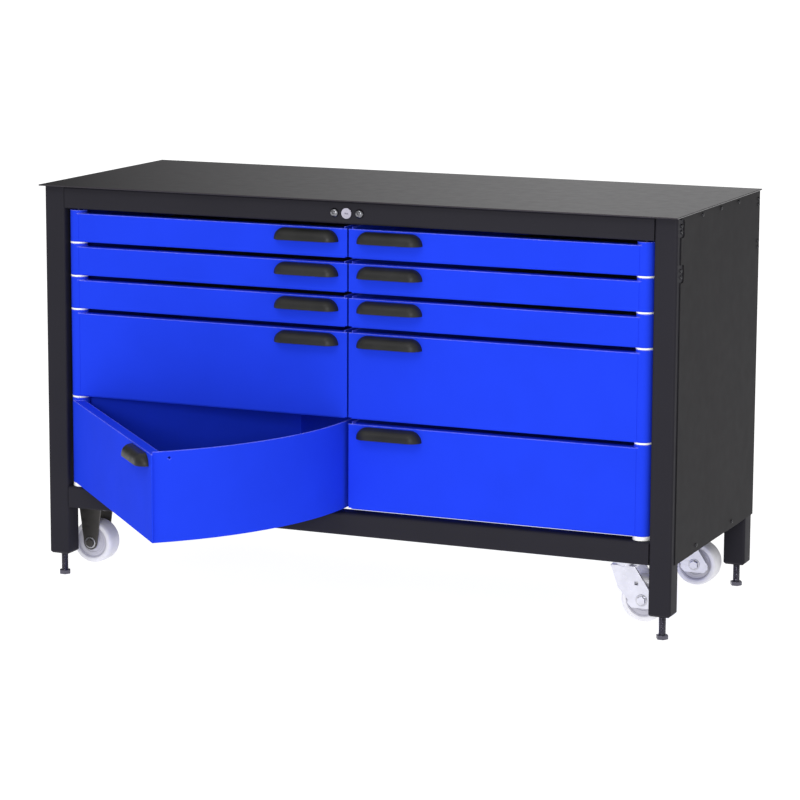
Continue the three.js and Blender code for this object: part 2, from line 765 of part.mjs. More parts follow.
function casters() {
  const { front, fixed, swivel } = casterInset;
  const rear = frame.depth - front;
  return namedGroup(
    'casters',
    fixedCaster('front_left', fixed, front),
    fixedCaster('rear_left', fixed, rear),
    swivelCaster('front_right', frame.width - swivel, front),
    swivelCaster('rear_right', frame.width - swivel, rear),
  );
}

// ---------------------------------------------------------------- lock
// The cylinder is drawn with its face at y = 0 and its barrel running back along +Y. The cam
// is fixed to its rear end.
function lockCylinder() {
  const { faceRadius, faceHeight, barrelRadius, barrelLength, keyway, cam } = lock;
  const body = join(
    cylinderY(faceRadius, 0, faceHeight),
    cylinderY(barrelRadius, faceHeight / 2, barrelLength, SEGMENTS.small),
    box(
      [-cam.width / 2, barrelLength - cam.thickness, -cam.width / 2],
      [cam.length, barrelLength, cam.width / 2],
    ),
  );
  const slot = box(
    [-keyway.width / 2, -CUT, -keyway.height / 2],
    [keyway.width / 2, keyway.depth, keyway.height / 2],
  );
  const mesh = namedMesh('lock_cylinder', cutAway(body, slot), finishes.chrome);
  const z = frameTop - frame.topRail.height / 2 - lock.drop;
  return place(mesh, centreX, -faceHeight - GAP, z);
}

// ---------------------------------------------------------------- assembly
const bench = namedGroup(
  'bench',
  frameGroup(),
  worktopMesh(),
  sidePanel('side_panel_left', -1),
  sidePanel('side_panel_right', 1),
  backPanel(),
  column('left', 1),
  column('right', -1),
  levellingBolts(),
  casters(),
  lockCylinder(),
);

const bounds = new THREE.Box3().setFromObject(bench, true);
const middle = bounds.getCenter(new THREE.Vector3());
bench.position.set(-middle.x, -middle.y, -bounds.min.z);

const workbench = new THREE.Group();
workbench.name = 'workbench';
workbench.add(bench);

export default workbench;
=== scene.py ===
"""Looks of a steel workbench with ten swing-out drawers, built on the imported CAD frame."""
import json
import math

import bmesh
import bpy
from mathutils import Matrix, Vector

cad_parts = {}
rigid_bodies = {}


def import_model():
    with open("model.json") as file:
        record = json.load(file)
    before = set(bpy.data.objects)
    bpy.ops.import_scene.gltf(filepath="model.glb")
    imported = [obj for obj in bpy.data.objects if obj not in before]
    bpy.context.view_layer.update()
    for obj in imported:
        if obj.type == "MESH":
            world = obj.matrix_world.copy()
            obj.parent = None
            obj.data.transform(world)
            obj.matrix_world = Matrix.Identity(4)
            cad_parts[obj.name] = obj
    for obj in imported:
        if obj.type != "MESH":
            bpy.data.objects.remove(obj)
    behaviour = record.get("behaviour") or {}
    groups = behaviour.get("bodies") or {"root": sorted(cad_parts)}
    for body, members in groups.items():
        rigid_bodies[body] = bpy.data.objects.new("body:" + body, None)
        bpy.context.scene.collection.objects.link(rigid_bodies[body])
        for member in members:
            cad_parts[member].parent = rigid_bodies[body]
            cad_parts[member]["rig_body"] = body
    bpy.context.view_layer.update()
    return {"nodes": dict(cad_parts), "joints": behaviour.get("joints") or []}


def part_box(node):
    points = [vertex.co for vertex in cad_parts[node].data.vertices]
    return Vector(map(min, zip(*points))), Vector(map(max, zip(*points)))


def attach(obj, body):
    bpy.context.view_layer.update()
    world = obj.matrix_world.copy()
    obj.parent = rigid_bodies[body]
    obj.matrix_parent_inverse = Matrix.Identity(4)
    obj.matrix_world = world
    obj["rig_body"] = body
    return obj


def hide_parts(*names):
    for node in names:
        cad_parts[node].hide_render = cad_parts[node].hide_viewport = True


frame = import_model()

MM = 0.001
COLUMNS = {"left": 1, "right": -1}  # the side of the rod that the front runs to, along X
ROWS = range(1, 6)
FIRST_DEEP_ROW = 4
CORNERS = ("front_left", "front_right", "rear_left", "rear_right")
SWIVEL = ("front_right", "rear_right")
joints = {joint["name"]: joint for joint in frame["joints"]}


# ---------------------------------------------------------------- materials
def new_material(name, **sockets):
    """A material whose shader sockets are set from keywords, underscores standing for spaces."""
    made = bpy.data.materials.new(name)
    made.use_nodes = True
    shader = made.node_tree.nodes["Principled BSDF"]
    for socket, value in sockets.items():
        shader.inputs[socket.replace("_", " ")].default_value = value
    return made, made.node_tree, shader


def add_node(tree, kind, inputs=(), **settings):
    made = tree.nodes.new(kind)
    for key, value in settings.items():
        setattr(made, key, value)
    for key, value in dict(inputs).items():
        if isinstance(value, bpy.types.NodeSocket):
            tree.links.new(value, made.inputs[key])
        else:
            made.inputs[key].default_value = value
    return made


def noise(tree, scale, detail=2.0, stretch=(1, 1, 1)):
    """Noise in object space, with about `scale` features to a metre."""
    place = add_node(tree, "ShaderNodeTexCoord").outputs["Object"]
    mapped = add_node(tree, "ShaderNodeMapping", {"Vector": place, "Scale": stretch})
    made = add_node(
        tree, "ShaderNodeTexNoise",
        {"Vector": mapped.outputs["Vector"], "Scale": scale, "Detail": detail},
    )
    return made.outputs["Fac"]


def spread(tree, value, low, high, source=(0.3, 0.7)):
    made = add_node(tree, "ShaderNodeMapRange", {
        "Value": value, "From Min": source[0], "From Max": source[1],
        "To Min": low, "To Max": high,
    })
    return made.outputs["Result"]


def mixed(tree, share, first, second):
    made = add_node(tree, "ShaderNodeMix", data_type="RGBA")
    for index, value in ((0, share), (6, first), (7, second)):
        if isinstance(value, bpy.types.NodeSocket):
            tree.links.new(value, made.inputs[index])
        else:
            made.inputs[index].default_value = value
    return made.outputs[2]


def rounded_normal(tree, radius):
    return add_node(tree, "ShaderNodeBevel", {"Radius": radius}, samples=4).outputs["Normal"]


def upward_edge_highlight(tree, radius):
    """1 along sharp edges that face up, where a painted highlight goes, and 0 on flat ground."""
    flat = add_node(tree, "ShaderNodeNewGeometry").outputs["Normal"]
    rounded = rounded_normal(tree, radius)
    dot = add_node(
        tree, "ShaderNodeVectorMath", {0: rounded, 1: flat}, operation="DOT_PRODUCT")
    sharp = spread(tree, dot.outputs["Value"], 1.0, 0.0, (0.72, 0.97))
    up = add_node(tree, "ShaderNodeSeparateXYZ", {"Vector": rounded}).outputs["Z"]
    upward = spread(tree, up, 0.0, 1.0, (0.15, 0.45))
    return add_node(tree, "ShaderNodeMath", {0: sharp, 1: upward}, operation="MULTIPLY").outputs[0]


def bumped(tree, height, strength, distance, under=None):
    inputs = {"Height": height, "Strength": strength, "Distance": distance}
    if under is not None:
        inputs["Normal"] = under
    return add_node(tree, "ShaderNodeBump", inputs).outputs["Normal"]


def powder_coat(name, colour, edge, roughness, grain=900, depth=0.25, specular=0.4,
                tint=(1, 1, 1, 1), highlight_width=1.2):
    """Sprayed and baked paint: fine orange peel, faint cloudiness and a thin painted highlight in the
    edge colour along sharp edges that face up.
    """
    made, tree, shader = new_material(name, Specular_IOR_Level=specular, Specular_Tint=tint)
    cloud = spread(tree, noise(tree, 7), 0.0, 1.0)
    darker = [channel * 0.94 for channel in colour[:3]] + [1]
    ground = mixed(tree, cloud, darker, colour)
    # painted highlight: the edge colour is mixed in along sharp edges that face up, made patchy by
    # noise
    painted_highlight = add_node(tree, "ShaderNodeMath", {
        0: upward_edge_highlight(tree, highlight_width * MM), 1: spread(tree, noise(tree, 60, 4), 0.4, 0.9),
    }, operation="MULTIPLY")
    tree.links.new(mixed(tree, painted_highlight.outputs[0], ground, edge), shader.inputs["Base Color"])
    rough = spread(tree, noise(tree, 35, 3), roughness - 0.02, roughness + 0.02)
    tree.links.new(rough, shader.inputs["Roughness"])
    peel = bumped(tree, noise(tree, 160, 2), depth, 0.12 * MM, rounded_normal(tree, 0.6 * MM))
    fine = bumped(tree, noise(tree, grain, 2), depth, 0.05 * MM, peel)
    tree.links.new(fine, shader.inputs["Normal"])
    return made


def moulded(name, colour, roughness, grain=700, depth=0.35, **sockets):
    """Moulded plastic or rubber with a fine spark-eroded grain."""
    made, tree, shader = new_material(name, **sockets)
    tint = [min(1.0, channel * 1.25 + 0.004) for channel in colour[:3]] + [1]
    tree.links.new(mixed(tree, spread(tree, noise(tree, 18, 3), 0, 1), colour, tint),
                   shader.inputs["Base Color"])
    tree.links.new(spread(tree, noise(tree, 50, 3), roughness - 0.06, roughness + 0.06),
                   shader.inputs["Roughness"])
    soft = rounded_normal(tree, 0.5 * MM)
    tree.links.new(bumped(tree, noise(tree, grain, 3), depth, 0.08 * MM, soft),
                   shader.inputs["Normal"])
    return made


def plated(name, colour, roughness, stretch=(1, 1, 14), scale=90, depth=0.08):
    """Plated steel with drawn or turned marks running across `stretch`."""
    made, tree, shader = new_material(name, Metallic=1.0)
    dull = [channel * 0.82 for channel in colour[:3]] + [1]
    patch = spread(tree, noise(tree, 30, 4), 0, 1)
    tree.links.new(mixed(tree, patch, dull, colour), shader.inputs["Base Color"])
    marks = noise(tree, scale, 4, stretch)
    tree.links.new(spread(tree, marks, roughness - 0.08, roughness + 0.1),
                   shader.inputs["Roughness"])
    tree.links.new(bumped(tree, marks, depth, 0.05 * MM, rounded_normal(tree, 0.5 * MM)),
                   shader.inputs["Normal"])
    return made


def foam_mat():
    made, tree, shader = new_material("mat_foam", Specular_IOR_Level=0.2)
    cells = add_node(tree, "ShaderNodeTexVoronoi", {
        "Vector": add_node(tree, "ShaderNodeTexCoord").outputs["Object"], "Scale": 420,
    })
    distance = cells.outputs["Distance"]
    dark, light = (0.16, 0.16, 0.165, 1), (0.24, 0.24, 0.245, 1)
    tree.links.new(mixed(tree, distance, dark, light), shader.inputs["Base Color"])
    tree.links.new(spread(tree, noise(tree, 40), 0.7, 0.85), shader.inputs["Roughness"])
    tree.links.new(bumped(tree, distance, 0.6, 0.4 * MM), shader.inputs["Normal"])
    return made


# The second colour of each paint is the painted highlight along its upward-facing edges; the drawers'
# is a wide, pale lilac one.
frame_paint = powder_coat(
    "frame_paint", (0.021, 0.020, 0.026, 1), (0.045, 0.045, 0.05, 1), 0.5, specular=0.08)
top_paint = powder_coat(
    "top_paint", (0.016, 0.014, 0.018, 1), (0.14, 0.14, 0.145, 1), 0.2, depth=0.015, specular=0.5,
    tint=(1.0, 0.93, 1.0, 1))
panel_paint = powder_coat(
    "panel_paint", (0.0255, 0.0245, 0.0265, 1), (0.05, 0.05, 0.05, 1), 0.55, 700, 0.12, 0.045)
drawer_paint = powder_coat(
    "drawer_paint", (0.015, 0.051, 0.78, 1), (0.50, 0.50, 1.0, 1), 0.65, depth=0.05,
    specular=0.01, highlight_width=3.5)
handle_plastic = moulded(
    "handle_plastic", (0.013, 0.013, 0.0125, 1), 0.42, Specular_IOR_Level=0.25)
nylon = moulded("nylon", (0.90, 0.90, 0.88, 1), 0.4, 500, 0.2)
zinc = plated("zinc", (0.62, 0.62, 0.66, 1), 0.3)
fork_zinc = plated("fork_zinc", (0.76, 0.76, 0.84, 1), 0.34, (1, 1, 5), 60)
# The fixed forks get a darker copy of the fork zinc: painted shade for forks that stand in the
# bench's shadow.
fork_zinc_shaded = plated("fork_zinc_shaded", (0.11, 0.105, 0.10, 1), 0.45, (1, 1, 5), 60)
rod_steel = plated("rod_steel", (0.06, 0.06, 0.065, 1), 0.4)
bolt_steel = plated("bolt_steel", (0.13, 0.125, 0.155, 1), 0.24, (1, 1, 3), 60)
chrome = plated("chrome", (0.52, 0.50, 0.60, 1), 0.16, (1, 14, 1))
black_oxide = plated("black_oxide", (0.05, 0.05, 0.055, 1), 0.38)
tread_rubber = moulded("tread_rubber", (0.66, 0.655, 0.69, 1), 0.36, 400, 0.15)
disc_plastic = moulded("disc_plastic", (0.43, 0.425, 0.48, 1), 0.32, 500, 0.12)
mat_foam = foam_mat()


# ---------------------------------------------------------------- mesh helpers
def finish_mesh(bm, name, paint, smooth=35):
    """The bmesh as a piece, smooth but for edges sharper than `smooth` degrees."""
    bmesh.ops.remove_doubles(bm, verts=bm.verts, dist=1e-7)
    bmesh.ops.recalc_face_normals(bm, faces=bm.faces)
    mesh = bpy.data.meshes.new(name)
    bm.to_mesh(mesh)
    bm.free()
    mesh.shade_smooth()
    mesh.set_sharp_from_angle(angle=math.radians(smooth))
    piece = bpy.data.objects.new(name, mesh)
    piece.data.materials.append(paint)
    bpy.context.scene.collection.objects.link(piece)
    return piece


def add_lathe(bm, profile, segments, turn=None, closed=True):
    """Adds a closed [radius, height] profile, in millimetres, turned about local Z."""
    turn = turn or Matrix.Identity(4)
    rings = []
    for radius, height in profile:
        angles = [2 * math.pi * i / segments for i in range(segments)]
        points = [Vector((radius * math.cos(a), radius * math.sin(a), height)) * MM for a in angles]
        rings.append([bm.verts.new(turn @ point) for point in points])
    pairs = list(zip(rings, rings[1:] + rings[:1])) if closed else list(zip(rings, rings[1:]))
    for lower, upper in pairs:
        for i in range(segments):
            j = (i + 1) % segments
            bm.faces.new((lower[i], lower[j], upper[j], upper[i]))
    if not closed:
        for ring in (rings[0], rings[-1]):
            bm.faces.new(ring)


def add_prism(bm, outline, low, high, turn=None):
    """Adds an [x, y] outline, in millimetres, run from low to high along local Z."""
    turn = turn or Matrix.Identity(4)
    ends = [[bm.verts.new(turn @ (Vector((x, y, z)) * MM)) for x, y in outline] for z in (low, high)]
    for ring in ends:
        bm.faces.new(ring)
    for i in range(len(outline)):
        j = (i + 1) % len(outline)
        bm.faces.new((ends[0][i], ends[0][j], ends[1][j], ends[1][i]))


def bevelled(bm, width, sharper_than=35, segments=2):
    edges = [
        edge for edge in bm.edges
        if len(edge.link_faces) == 2 and edge.calc_face_angle(0) > math.radians(sharper_than)
    ]
    bmesh.ops.bevel(
        bm, geom=edges, offset=width * MM, segments=segments, profile=0.5, affect="EDGES",
    )


def facing(direction):
    """The turn that takes local Z to a direction."""
    return Vector(direction).to_track_quat("Z", "Y").to_matrix().to_4x4()


def refined(node, paint, width=0.0):
    """A cleaned copy of a CAD node with its sharp edges rounded, standing in its place."""
    bm = bmesh.new()
    bm.from_mesh(frame["nodes"][node].data)
    bmesh.ops.remove_doubles(bm, verts=bm.verts, dist=1e-6)
    bmesh.ops.dissolve_limit(
        bm, angle_limit=math.radians(0.5), verts=bm.verts, edges=bm.edges,
    )
    if width:
        bevelled(bm, width)
    piece = finish_mesh(bm, node + "_shell", paint)
    weighted = piece.modifiers.new("weighted", "WEIGHTED_NORMAL")
    weighted.keep_sharp = True
    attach(piece, frame["nodes"][node]["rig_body"])
    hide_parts(node)
    return piece


def centre(node):
    low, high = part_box(node)
    return (low + high) / 2


def size(node):
    low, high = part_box(node)
    return (high - low) / MM


# ---------------------------------------------------------------- fasteners
def add_pan_head(bm, place, radius):
    """A pan-head screw with a round recess, its seat at the origin of `place`."""
    height, recess = radius * 0.62, radius * 0.36
    add_lathe(bm, [
        (radius, 0), (radius, height * 0.35), (radius * 0.88, height * 0.78),
        (radius * 0.62, height), (recess, height), (recess * 0.8, height * 0.4), (0.01, height * 0.3),
    ], 20, place, closed=False)


def add_hex_head(bm, place, across_flats, height):
    """A hexagonal head, chamfered on the side away from its seat at the origin of `place`."""
    corner = across_flats / math.sqrt(3)
    hexagon = [
        (corner * math.cos(math.radians(60 * i)), corner * math.sin(math.radians(60 * i)))
        for i in range(6)
    ]
    inner = [(x * 0.92, y * 0.92) for x, y in hexagon]
    levels = [(hexagon, 0), (hexagon, height * 0.82), (inner, height)]
    rings = [[bm.verts.new(place @ (Vector((x, y, z)) * MM)) for x, y in ring] for ring, z in levels]
    bm.faces.new(rings[0])
    bm.faces.new(rings[-1])
    for lower, upper in zip(rings, rings[1:]):
        for i in range(6):
            j = (i + 1) % 6
            bm.faces.new((lower[i], lower[j], upper[j], upper[i]))


def screws(name, paint, body, places, radius):
    """A set of pan-head screws as one piece. Each place is a point and a direction."""
    bm = bmesh.new()
    for point, direction in places:
        add_pan_head(bm, Matrix.Translation(point) @ facing(direction), radius)
    piece = finish_mesh(bm, name, paint)
    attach(piece, body)
    return piece


# ---------------------------------------------------------------- frame and panels
for corner in CORNERS:
    refined(f"post_{corner}", frame_paint, 0.8)
for rail in ("top_rail_front", "bottom_rail_front", "bottom_rail_rear",
             "bottom_rail_left", "bottom_rail_right"):
    refined(rail, frame_paint, 0.6)
refined("worktop", top_paint, 1.0)
for panel in ("side_panel_left", "side_panel_right", "back_panel"):
    refined(panel, panel_paint, 0.4)
for column in COLUMNS:
    refined(f"pivot_rod_{column}", rod_steel)
    for row in ROWS:
        refined(f"washer_{column}_{row}", nylon, 0.5)

SCREW_RADIUS = 4.6
SCREW_FROM_TOP = 9  # from the top edge of a panel
SCREW_FROM_REAR = 12  # from the rear edge of a side panel to the screws in the rear post
PAIR_LEVELS = (18, 31, 113, 127)  # post screws, below the top of the post


def panel_screws(side):
    """Screws along the top fold, down the post screws and along the lower edge of one side."""
    low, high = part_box(f"side_panel_{side}")
    outward = Vector((1 if side == "right" else -1, 0, 0))
    face = high.x if side == "right" else low.x
    post = centre(f"post_front_{side}")
    post_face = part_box(f"post_front_{side}")[1 if side == "right" else 0].x
    rear = high.y - SCREW_FROM_REAR * MM
    top_row = [
        Vector((face, low.y + (high.y - low.y) * share, high.z - SCREW_FROM_TOP * MM))
        for share in (0.25, 0.48, 0.71)
    ]
    low_row = [
        Vector((face, low.y + (high.y - low.y) * share, low.z + 15 * MM)) for share in (0.25, 0.71)
    ]
    front = [Vector((post_face, post.y, high.z - drop * MM)) for drop in PAIR_LEVELS]
    back = [Vector((face, rear, high.z - drop * MM)) for drop in PAIR_LEVELS]
    places = [(point, outward) for point in top_row + low_row + front + back]
    screws(f"screws_side_{side}", black_oxide, "bench", places, SCREW_RADIUS)


def back_screws():
    low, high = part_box("back_panel")
    shares = [i / 6 for i in range(7)]
    inset = 22 * MM
    top = [Vector((low.x + inset + (high.x - low.x - 2 * inset) * share, high.y,
                   high.z - SCREW_FROM_TOP * MM)) for share in shares]
    bottom = [Vector((point.x, high.y, low.z + inset)) for point in top]
    sides = [Vector((x, high.y, low.z + (high.z - low.z) * share))
             for x in (low.x + inset, high.x - inset) for share in (0.25, 0.5, 0.75)]
    screws("screws_back", black_oxide, "bench",
           [(point, (0, 1, 0)) for point in top + bottom + sides], SCREW_RADIUS)


for side in COLUMNS:
    panel_screws(side)
back_screws()


# ---------------------------------------------------------------- lock
LOCK_FASTENER_OFFSET = 30  # each side of the middle of the bench
refined("lock_cylinder", chrome, 0.5)
lock_z = centre("lock_cylinder").z
rail_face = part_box("top_rail_front")[0].y
# radius and height of a domed screw beside the lock, from its seat to its recess
DOMED_SCREW = [
    (10.2, 0), (10.2, 1), (9.7, 2.8), (8.3, 4.6), (6, 5.8), (3.4, 6.4), (2.8, 6.4),
    (2.5, 3.4), (0.01, 3.2),
]
dark_nickel = plated("dark_nickel", (0.22, 0.22, 0.24, 1), 0.2)


def lock_fasteners():
    """A domed screw on each side of the lock."""
    bm = bmesh.new()
    for side in (-1, 1):
        point = Vector((side * LOCK_FASTENER_OFFSET * MM, rail_face, lock_z))
        place = Matrix.Translation(point) @ facing((0, -1, 0))
        add_lathe(bm, DOMED_SCREW, 32, place, closed=False)
    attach(finish_mesh(bm, "lock_fasteners", dark_nickel), "bench")


lock_fasteners()


# ---------------------------------------------------------------- drawers
def drawer_place(column, row):
    """From the closed drawer's own frame, u along the front and w into the bench, to the row's."""
    joint = joints[f"drawer_{column}_{row}_swing"]
    closed = -joint["range_deg"][0]  # how far it stands open at rest
    turn = Matrix.Rotation(math.radians(closed) * joint["axis"][2], 4, "Z")
    flip = Matrix.Diagonal((COLUMNS[column], 1, 1, 1))
    return Matrix.Translation(joint["pos_m"]) @ turn @ flip


def closed_twin(column, row):
    """A drawer of the same height and column that stands closed."""
    return f"drawer_{column}_{FIRST_DEEP_ROW if row >= FIRST_DEEP_ROW else 1}"


def local_box(column, row, part=""):
    """A closed twin's box as ((u, w, z) low, (u, w, z) high) in the drawer's own frame, mm."""
    twin = closed_twin(column, row)
    origin = Vector(joints[twin + "_swing"]["pos_m"])
    corners = [(corner - origin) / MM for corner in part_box(twin + part)]
    sign = COLUMNS[column]
    us = sorted(sign * corner.x for corner in corners)
    return Vector((us[0], corners[0].y, corners[0].z)), Vector((us[1], corners[1].y, corners[1].z))


SHEET = 2
MAT_GAP = 2
MAT_THICKNESS = 3
MAT_LIFT = 0.2  # above the floor of the drawer
KNUCKLE_ROOM = 26  # the mat stops this far from the rod's axis
CURVE_SETBACK = 6  # the curved side, behind the free edge of the front


def mat_outline(reach, rear, steps=40):
    """The drawer floor less a gap, with a notch round the knuckle."""
    knuckle = size("washer_left_1").x / 2
    near = 2 * SHEET + MAT_GAP - knuckle
    radius = reach - SHEET - MAT_GAP
    back = rear - SHEET - MAT_GAP
    start, end = math.asin(near / radius), math.asin(back / radius)
    curve = [
        (radius * math.cos(start + (end - start) * i / steps),
         radius * math.sin(start + (end - start) * i / steps))
        for i in range(steps + 1)
    ]
    return [
        (KNUCKLE_ROOM, near), *curve, (near, back), (near, KNUCKLE_ROOM),
        (KNUCKLE_ROOM, KNUCKLE_ROOM),
    ]


def drawer_mat(column, row):
    high = local_box(column, row)[1]
    bm = bmesh.new()
    outline = mat_outline(high.x - CURVE_SETBACK, high.y)
    add_prism(bm, outline, SHEET + MAT_LIFT, SHEET + MAT_THICKNESS)
    bmesh.ops.triangulate(bm, faces=[face for face in bm.faces if len(face.verts) > 4])
    bm.transform(drawer_place(column, row))
    piece = finish_mesh(bm, f"drawer_{column}_{row}_mat", mat_foam)
    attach(piece, f"drawer_{column}_{row}")


HANDLE_WALL = 3
HANDLE_END = 26  # length over which each end rounds off
BODY_POWER = 2.4  # fullness of the cup's cross-section


def handle_grid(half, height, depth, drop, along=48, around=14):
    """Points of one skin of the cup, from its top edge at the front sheet to its lip."""
    rows = []
    for i in range(along + 1):
        # closer together toward the ends
        x = half * math.sin(math.pi / 2 * (2 * i / along - 1))
        past = max(0.0, abs(x) - (half - HANDLE_END)) / HANDLE_END
        swell = math.sqrt(max(0.0, 1 - past ** 2)) if past < 1 else 0.0
        swell = max(swell, 0.02)
        row = []
        for k in range(around + 1):
            angle = math.pi / 2 * k / around
            y = -depth * swell * abs(math.sin(angle)) ** (2 / BODY_POWER)
            z = (height - drop) * swell * abs(math.cos(angle)) ** (2 / BODY_POWER) + drop
            row.append((x, y, z if k < around else drop))
        rows.append(row)
    return rows


def handle_piece(column, row):
    """The moulded cup pull: an outer and an inner skin joined along the lip."""
    low, high = local_box(column, row, "_handle")
    width, depth, height = high - low
    middle = Vector(((low.x + high.x) / 2, high.y, low.z))
    bm = bmesh.new()
    outer = handle_grid(width / 2, height, depth, 0)
    inner = handle_grid(width / 2 - HANDLE_WALL, height - HANDLE_WALL, depth - HANDLE_WALL, 0)
    skins = [[[bm.verts.new((middle + Vector(point)) * MM) for point in line] for line in skin]
             for skin in (outer, inner)]
    for skin in skins:
        for first, second in zip(skin, skin[1:]):
            for k in range(len(first) - 1):
                bm.faces.new((first[k], first[k + 1], second[k + 1], second[k]))
    for index in (0, -1):
        edge = [line[index] for line in skins[0]], [line[index] for line in skins[1]]
        for k in range(len(edge[0]) - 1):
            bm.faces.new((edge[0][k], edge[0][k + 1], edge[1][k + 1], edge[1][k]))
    for index in (0, -1):
        first, second = skins[0][index], skins[1][index]
        for k in range(len(first) - 1):
            bm.faces.new((first[k], first[k + 1], second[k + 1], second[k]))
    bm.transform(drawer_place(column, row))
    name = f"drawer_{column}_{row}_handle"
    piece = finish_mesh(bm, name + "_cup", handle_plastic, 50)
    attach(piece, f"drawer_{column}_{row}")
    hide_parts(name)


for column in COLUMNS:
    for row in ROWS:
        refined(f"drawer_{column}_{row}", drawer_paint, 0.45)
        drawer_mat(column, row)
        handle_piece(column, row)


# ---------------------------------------------------------------- levelling bolts
THREAD_PITCH = 2.0
THREAD_DEPTH = 1.1
HEAD_HEIGHT = 9
SHANK_RADIUS = 8


def thread_rings(bm, radius, low, high, segments=24, steps=6):
    """A helical thread as a grid whose radius follows the height and the angle."""
    count = int((high - low) / THREAD_PITCH * steps)
    rings = []
    for i in range(count + 1):
        z = low + (high - low) * i / count
        ring = []
        for k in range(segments):
            turn = k / segments
            phase = (z / THREAD_PITCH - turn) % 1
            depth = THREAD_DEPTH * (1 - abs(2 * phase - 1))
            angle = 2 * math.pi * turn
            fade = min(1.0, (z - low) / THREAD_PITCH, (high - z) / THREAD_PITCH)
            r = radius - THREAD_DEPTH + (THREAD_DEPTH - depth) * fade
            ring.append(bm.verts.new(Vector((r * math.cos(angle), r * math.sin(angle), z)) * MM))
        rings.append(ring)
    for lower, upper in zip(rings, rings[1:]):
        for k in range(segments):
            j = (k + 1) % segments
            bm.faces.new((lower[k], lower[j], upper[j], upper[k]))
    for ring in (rings[0], rings[-1]):
        bm.faces.new(ring)


def levelling_bolt(corner):
    """A hexagonal head on the floor with a threaded shank rising into the post."""
    node = f"levelling_bolt_{corner}"
    low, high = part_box(node)
    middle = centre(node)
    height = (high.z - low.z) / MM
    head_flats = (high.y - low.y) / MM
    bm = bmesh.new()
    down = Matrix.Rotation(math.pi, 4, "X")
    add_hex_head(bm, Matrix.Translation((0, 0, HEAD_HEIGHT * MM)) @ down, head_flats, HEAD_HEIGHT)
    add_lathe(bm, [(11.4, HEAD_HEIGHT - 0.2), (11.4, HEAD_HEIGHT + 0.6), (7.5, HEAD_HEIGHT + 0.8),
                   (7.5, HEAD_HEIGHT - 0.2)], 40)
    thread_rings(bm, SHANK_RADIUS, HEAD_HEIGHT - 0.1, height)
    bm.transform(Matrix.Translation((middle.x, middle.y, low.z)))
    piece = finish_mesh(bm, node + "_threaded", bolt_steel, 40)
    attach(piece, node)
    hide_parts(node)


for corner in CORNERS:
    levelling_bolt(corner)


# ---------------------------------------------------------------- casters
ALONG_Y = Matrix.Rotation(-math.pi / 2, 4, "X")  # local Z to +Y
WHEEL_RADIUS = 50  # of the profiles below, which are scaled to the CAD wheel
HUB_PROUD = 2.5  # hub past each face of the tread
# half profiles: radius, and distance in from the face of the tread
TREAD = [(38, 1), (40, 0), (43, 0), (46.3, 1), (48.8, 4), (50, 9)]
DISC = [
    (13.8, 3), (17, 3), (18.5, 5), (24, 5.4), (25, 4), (28, 4), (29, 5.4), (34.5, 5.4),
    (36, 2.4), (38.1, 2),
]
HUB = [(6.8, -2.3), (10, -2.3), (12.4, -1.8), (13.9, 0)]


def both_faces(profile, half_width, scale):
    """A closed lathe profile from the half that is given for one face."""
    front = [(radius * scale, inward - half_width) for radius, inward in profile]
    return front + [(radius, -height) for radius, height in reversed(front)]


def wheel_body(corner):
    return f"caster_{corner}_wheel"


def fork_body(corner):
    return f"caster_{corner}_fork" if corner in SWIVEL else "bench"


def caster_wheel(corner):
    """Tread, disc and hub of one wheel, each its own piece."""
    node = f"caster_wheel_{corner}"
    scale = size(node).z / 2 / WHEEL_RADIUS
    half_width = size(node).y / 2 - HUB_PROUD
    place = Matrix.Translation(centre(node)) @ ALONG_Y
    for name, profile, paint in (("tread", TREAD, tread_rubber), ("disc", DISC, disc_plastic),
                                 ("hub", HUB, zinc)):
        bm = bmesh.new()
        add_lathe(bm, both_faces(profile, half_width, scale), 72, place)
        piece = finish_mesh(bm, f"{node}_{name}", paint, 30)
        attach(piece, wheel_body(corner))
    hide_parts(node)


FORK_CLEARANCE = 0.3
FORK_SHEET = 4
PLATE_THICKNESS = 5
PLATE_BOLT = {"inset": 11, "across_flats": 13, "height": 5.3, "sunk": 0.1}


def axle_washers(corner):
    """A pressed washer behind each axle nut."""
    axle = centre(f"caster_wheel_{corner}")
    bm = bmesh.new()
    for sign in (-1, 1):
        to_face = size(f"caster_wheel_{corner}").y / 2 + FORK_CLEARANCE + FORK_SHEET
        leg = axle.y + sign * to_face * MM
        place = Matrix.Translation((axle.x, leg, axle.z)) @ facing((0, sign, 0))
        add_lathe(bm, [(9.9, 0.05), (13, 0.05), (13.4, 0.6), (12.8, 1.6), (10.4, 1.8), (9.9, 1.6)],
                  40, place)
    piece = finish_mesh(bm, f"caster_{corner}_axle_washers", zinc)
    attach(piece, fork_body(corner))


def plate_bolts(corner):
    """Four hexagonal bolts under each mounting plate."""
    node = f"caster_plate_{corner}" if corner in SWIVEL else f"caster_fork_{corner}"
    low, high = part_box(node)
    inset = PLATE_BOLT["inset"] * MM
    under = high.z - PLATE_THICKNESS * MM
    bm = bmesh.new()
    for x in (low.x + inset, high.x - inset):
        for y in (low.y + inset, high.y - inset):
            seat = (x, y, under - PLATE_BOLT["sunk"] * MM)
            place = Matrix.Translation(seat) @ facing((0, 0, -1))
            add_hex_head(bm, place, PLATE_BOLT["across_flats"], PLATE_BOLT["height"])
    piece = finish_mesh(bm, f"caster_{corner}_bolts", zinc)
    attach(piece, "bench")


for corner in CORNERS:
    # the fixed forks take the darker zinc copy, which is painted shade
    refined(f"caster_fork_{corner}", fork_zinc if corner in SWIVEL else fork_zinc_shaded, 0.5)
    if corner in SWIVEL:
        refined(f"caster_plate_{corner}", fork_zinc, 0.5)
    caster_wheel(corner)
    axle_washers(corner)
    plate_bolts(corner)


